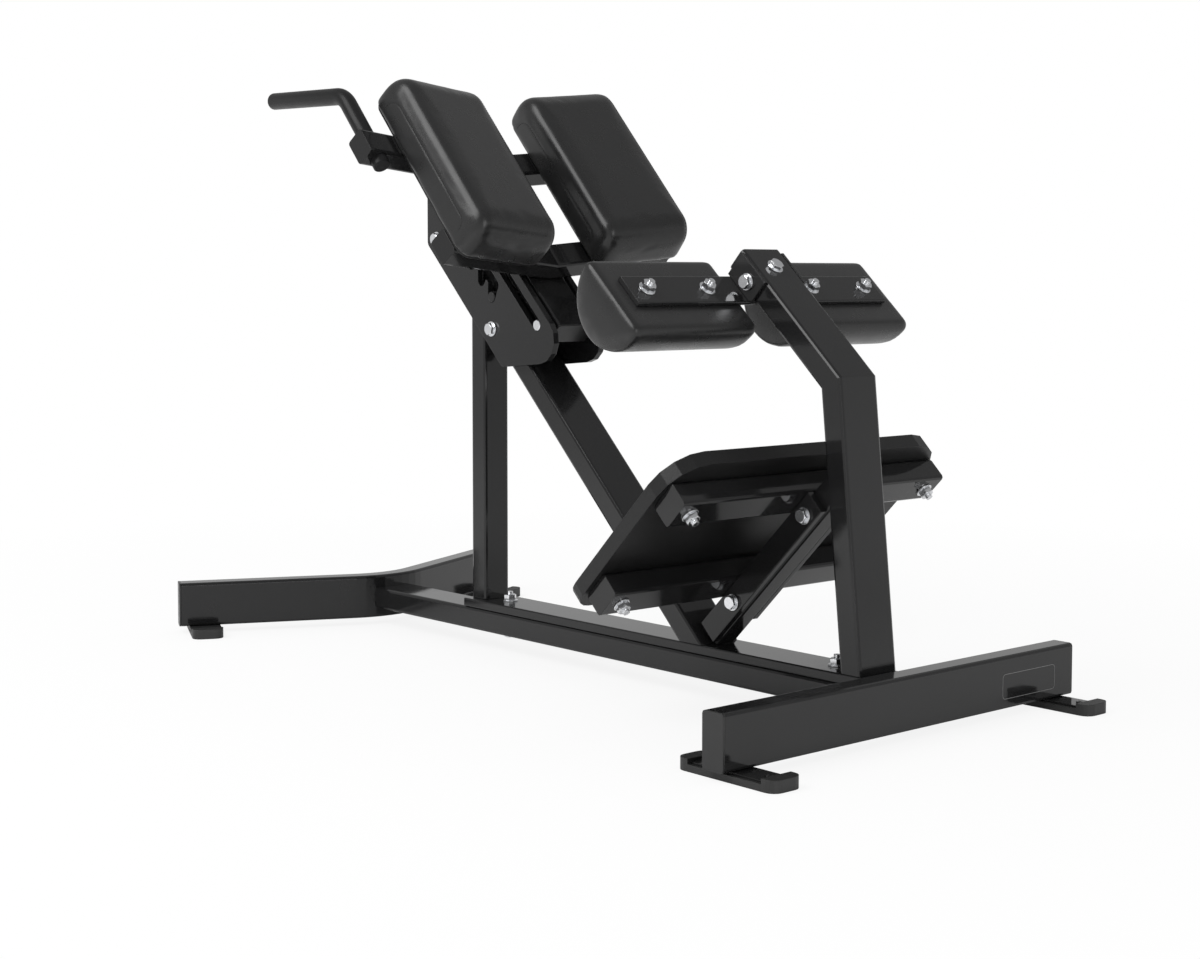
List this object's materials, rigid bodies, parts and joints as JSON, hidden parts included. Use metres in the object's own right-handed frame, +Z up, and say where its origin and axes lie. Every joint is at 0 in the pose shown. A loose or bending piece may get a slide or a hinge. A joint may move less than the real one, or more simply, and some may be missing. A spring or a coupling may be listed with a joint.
{
  "type": "hyperextension bench",
  "caption": "Hyperextension bench: slanted steel frame with a sliding, latching carriage of split hip pads and handles, ankle pads and a slanted foot board.",
  "frame": {"origin": "on the floor, under the middle of the bench's box", "axes": "+X towards the front, where the ankle pads and the foot board are; +Y across, towards the far side; +Z up"},
  "size_m": [1.5, 0.7202, 0.939],
  "materials": {
    "frame_paint": "satin near-black powder coat",
    "black_rubber": "matte black moulded rubber",
    "black_plastic": "matte black moulded plastic",
    "black_upholstery": "smooth black imitation leather with a soft sheen",
    "board_black": "matte black plastic-faced board",
    "bright_steel": "bright zinc-plated steel"
  },
  "bodies": {
    "frame": {"front_cross_foot": "frame_paint", "front_foot_cap_near": "black_plastic", "front_foot_cap_far": "black_plastic", "rear_cross_foot": "frame_paint", "rear_foot_cap_near": "black_plastic", "rear_foot_cap_far": "black_plastic", "rubber_foot_front_near": "black_rubber", "rubber_foot_front_far": "black_rubber", "rubber_foot_rear_near": "black_rubber", "rubber_foot_rear_far": "black_rubber", "foot_strip_front_near": "frame_paint", "foot_strip_front_far": "frame_paint", "lower_rail": "frame_paint", "runner_bar": "frame_paint", "rail_bolt_rear": "bright_steel", "rail_bolt_front": "bright_steel", "rear_post": "frame_paint", "brace_tube": "frame_paint", "front_post": "frame_paint", "side_plate_near": "frame_paint", "side_plate_far": "frame_paint", "plate_packer_near": "frame_paint", "plate_packer_far": "frame_paint", "plate_bolt_lower": "bright_steel", "plate_bolt_upper": "bright_steel", "ankle_bracket": "frame_paint", "bracket_side_bolt_near": "bright_steel", "bracket_side_bolt_far": "bright_steel", "bracket_front_bolt": "bright_steel", "ankle_bar": "frame_paint", "ankle_pad_near": "black_upholstery", "ankle_pad_far": "black_upholstery", "ankle_pad_nut_near_inner": "bright_steel", "ankle_pad_nut_near_outer": "bright_steel", "ankle_pad_nut_far_inner": "bright_steel", "ankle_pad_nut_far_outer": "bright_steel", "foot_board": "board_black", "foot_bar_upper": "frame_paint", "foot_bar_lower": "frame_paint", "foot_board_bolt_upper_near": "bright_steel", "foot_board_bolt_upper_far": "bright_steel", "foot_board_bolt_lower_near": "bright_steel", "foot_board_bolt_lower_far": "bright_steel", "strut_tube": "frame_paint", "strut_plate_near": "frame_paint", "strut_plate_far": "frame_paint", "strut_bolt_upper": "bright_steel", "strut_bolt_lower": "bright_steel"},
    "slider": {"slide_pin": "bright_steel"},
    "carriage": {"carriage_tube": "frame_paint", "carriage_end_cap": "black_plastic", "latch_yoke": "frame_paint", "latch_pin": "bright_steel", "crossbar_lower": "frame_paint", "crossbar_upper": "frame_paint", "handle_near": "frame_paint", "handle_far": "frame_paint", "hip_pad_near": "black_upholstery", "hip_pad_far": "black_upholstery"}
  },
  "joints": [
    {"name": "pad_adjust", "type": "slide", "parent": "frame", "child": "slider", "axis": [-0.7071, 0, 0.7071], "range_m": [0, 0.228]},
    {"name": "pad_lift", "type": "hinge", "parent": "slider", "child": "carriage", "pos_m": [-0.0572, 0, 0.5473], "axis": [0, 1, 0], "range_deg": [0, 9.5]}
  ]
}
